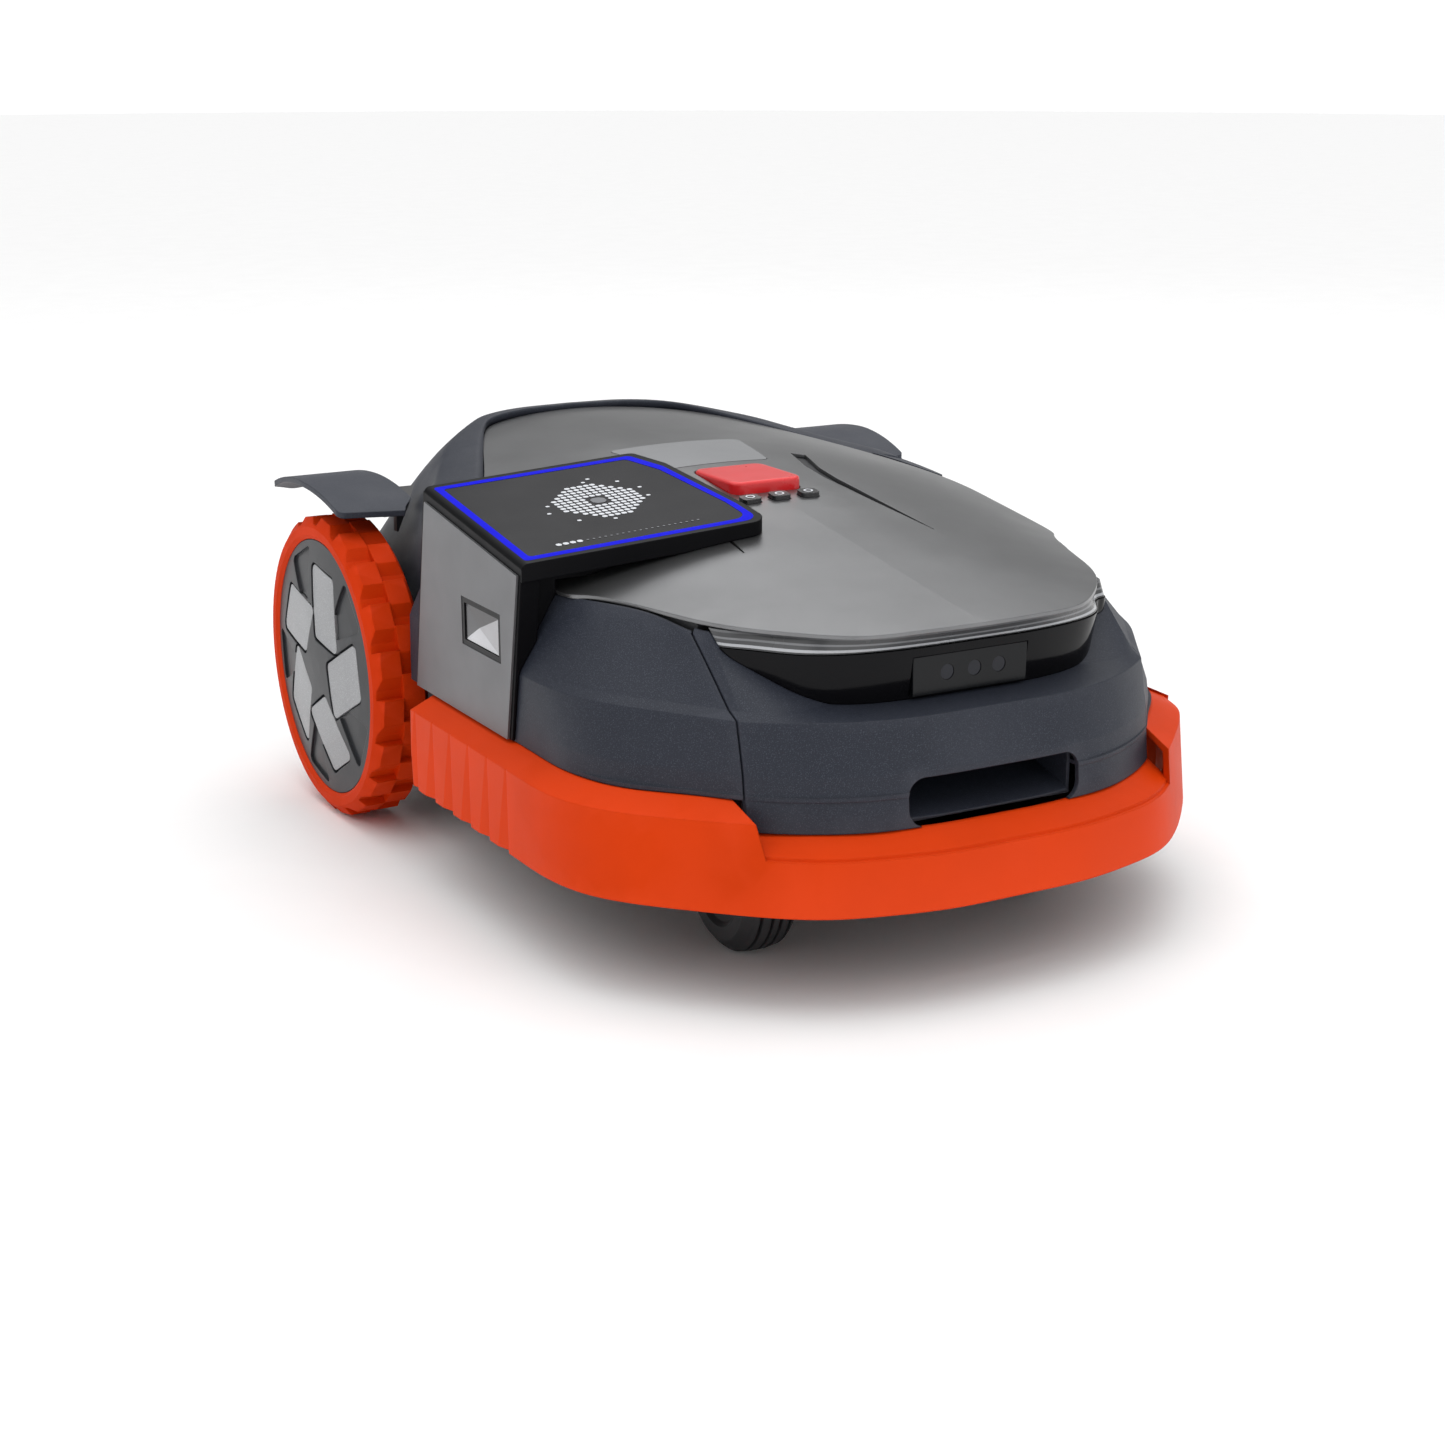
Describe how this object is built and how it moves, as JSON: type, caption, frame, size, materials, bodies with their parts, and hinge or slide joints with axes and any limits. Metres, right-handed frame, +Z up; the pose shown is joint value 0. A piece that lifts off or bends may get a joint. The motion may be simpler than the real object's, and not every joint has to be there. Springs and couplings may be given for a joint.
{
  "type": "robotic lawn mower",
  "caption": "Low self-driving lawn mower: grey shell with satin top plate, orange wrap-round bumper, big lugged rear drive wheels, front casters and a swinging-blade cutting disc.",
  "frame": {"origin": "ground plane under the centre of the bounding box", "axes": "+Z up, front of the machine towards -Y, its left side towards +X"},
  "size_m": [0.516, 0.6911, 0.2919],
  "materials": {
    "body_shell": "fine speckled grain",
    "top_satin": "satin",
    "visor_gloss": "high gloss",
    "light_strip": "frosted translucent",
    "sensor_window": "smoked gloss",
    "lens": "polished",
    "contact_metal": "plated",
    "bumper_orange": "soft satin",
    "display_housing": "gloss",
    "display_glass": "dark glass",
    "ribbon_satin": "satin",
    "camera_frame": "gloss",
    "keypad_grey": "satin",
    "stop_red": "gloss",
    "key_black": "gloss with pale tops",
    "trim_black": "satin",
    "inner_black": "matt",
    "tyre_orange": "matt rubber",
    "rim_dark": "satin",
    "hub_dark": "satin gloss",
    "hub_silver": "speckled metallic",
    "steel": "brushed",
    "motor_grey": "satin",
    "caster_black": "matt",
    "caster_rubber": "matt rubber",
    "carriage_grey": "matt",
    "disc_orange": "satin",
    "skid_black": "matt",
    "battery_blue": "matt wrap",
    "board_green": "solder mask"
  },
  "bodies": {
    "chassis": {"front_panel": "body_shell", "left_side_panel": "body_shell", "right_side_panel": "body_shell", "rear_casing": "body_shell", "inner_deck": "inner_black", "top_plate": "top_satin", "front_visor": "visor_gloss", "light_strip": "light_strip", "sensor_window": "sensor_window", "sensor_lenses": "lens", "dock_liner": "body_shell", "charge_contacts": "contact_metal", "display_housing": "display_housing", "display_glass": "display_glass", "side_ribbon": "ribbon_satin", "side_camera_frame": "camera_frame", "side_camera_lens": "lens", "keypad_panel": "keypad_grey", "stop_switch": "inner_black", "left_fender": "body_shell", "right_fender": "body_shell", "fender_arms": "trim_black", "gear_motors": "motor_grey", "caster_bushes": "trim_black", "chassis_pan": "inner_black", "height_guides": "steel", "battery_pack": "battery_blue", "control_board": "board_green", "antenna_puck": "trim_black", "casing_screws": "steel"},
    "bumper_float": {"bumper": "bumper_orange"},
    "stop_plunger": {"stop_button": "stop_red"},
    "right_key": {"key_right": "key_black"},
    "middle_key": {"key_middle": "key_black"},
    "left_key": {"key_left": "key_black"},
    "left_wheel": {"left_tyre": "tyre_orange", "left_wheel_rim": "rim_dark", "left_hub_cap": "hub_dark", "left_hub_inserts": "hub_silver", "left_axle": "steel"},
    "right_wheel": {"right_tyre": "tyre_orange", "right_wheel_rim": "rim_dark", "right_hub_cap": "hub_dark", "right_hub_inserts": "hub_silver", "right_axle": "steel"},
    "left_caster": {"left_caster_fork": "caster_black"},
    "left_caster_wheel": {"left_caster_rim": "caster_black", "left_caster_tyre": "caster_rubber"},
    "right_caster": {"right_caster_fork": "caster_black"},
    "right_caster_wheel": {"right_caster_rim": "caster_black", "right_caster_tyre": "caster_rubber"},
    "cutter_carriage": {"deck_carriage": "carriage_grey", "blade_motor": "motor_grey"},
    "blade_rotor": {"blade_spindle": "steel", "blade_disc": "disc_orange", "blade_screws": "steel"},
    "swing_blade_1": {"blade_1": "steel"},
    "swing_blade_2": {"blade_2": "steel"},
    "swing_blade_3": {"blade_3": "steel"},
    "skid": {"skid_plate": "skid_black"}
  },
  "joints": [
    {"name": "bumper_press", "type": "slide", "parent": "chassis", "child": "bumper_float", "axis": [0, 1, 0], "range_m": [0, 0.004], "stiffness_N_per_m": 2500, "springref_m": -0.001},
    {"name": "stop_press", "type": "slide", "parent": "chassis", "child": "stop_plunger", "axis": [0, 0, -1], "range_m": [0, 0.003], "stiffness_N_per_m": 1500, "springref_m": -0.003},
    {"name": "right_key_press", "type": "slide", "parent": "chassis", "child": "right_key", "axis": [0, 0, -1], "range_m": [0, 0.0012], "stiffness_N_per_m": 600, "springref_m": -0.001},
    {"name": "middle_key_press", "type": "slide", "parent": "chassis", "child": "middle_key", "axis": [0, 0, -1], "range_m": [0, 0.0012], "stiffness_N_per_m": 600, "springref_m": -0.001},
    {"name": "left_key_press", "type": "slide", "parent": "chassis", "child": "left_key", "axis": [0, 0, -1], "range_m": [0, 0.0012], "stiffness_N_per_m": 600, "springref_m": -0.001},
    {"name": "left_wheel_spin", "type": "hinge", "parent": "chassis", "child": "left_wheel", "pos_m": [0.232, 0.2175, 0.1165], "axis": [1, 0, 0], "continuous": true},
    {"name": "left_caster_swivel", "type": "hinge", "parent": "chassis", "child": "left_caster", "pos_m": [0.113, -0.213, 0.1], "axis": [0, 0, 1], "continuous": true},
    {"name": "left_caster_roll", "type": "hinge", "parent": "left_caster", "child": "left_caster_wheel", "pos_m": [0.113, -0.191, 0.046], "axis": [1, 0, 0], "continuous": true},
    {"name": "right_wheel_spin", "type": "hinge", "parent": "chassis", "child": "right_wheel", "pos_m": [-0.232, 0.2175, 0.1165], "axis": [1, 0, 0], "continuous": true},
    {"name": "right_caster_swivel", "type": "hinge", "parent": "chassis", "child": "right_caster", "pos_m": [-0.113, -0.213, 0.1], "axis": [0, 0, 1], "continuous": true},
    {"name": "right_caster_roll", "type": "hinge", "parent": "right_caster", "child": "right_caster_wheel", "pos_m": [-0.113, -0.191, 0.046], "axis": [1, 0, 0], "continuous": true},
    {"name": "cutting_height", "type": "slide", "parent": "chassis", "child": "cutter_carriage", "axis": [0, 0, 1], "range_m": [-0.012, 0.038]},
    {"name": "blade_drive", "type": "hinge", "parent": "cutter_carriage", "child": "blade_rotor", "pos_m": [0, -0.02, 0.042], "axis": [0, 0, 1], "continuous": true},
    {"name": "blade_1_swing", "type": "hinge", "parent": "blade_rotor", "child": "swing_blade_1", "pos_m": [0, 0.056, 0.042], "axis": [0, 0, 1], "continuous": true},
    {"name": "blade_2_swing", "type": "hinge", "parent": "blade_rotor", "child": "swing_blade_2", "pos_m": [-0.06582, -0.058, 0.042], "axis": [0, 0, 1], "continuous": true},
    {"name": "blade_3_swing", "type": "hinge", "parent": "blade_rotor", "child": "swing_blade_3", "pos_m": [0.06582, -0.058, 0.042], "axis": [0, 0, 1], "continuous": true},
    {"name": "skid_plate_spin", "type": "hinge", "parent": "blade_rotor", "child": "skid", "pos_m": [0, -0.02, 0.04], "axis": [0, 0, 1], "continuous": true}
  ]
}
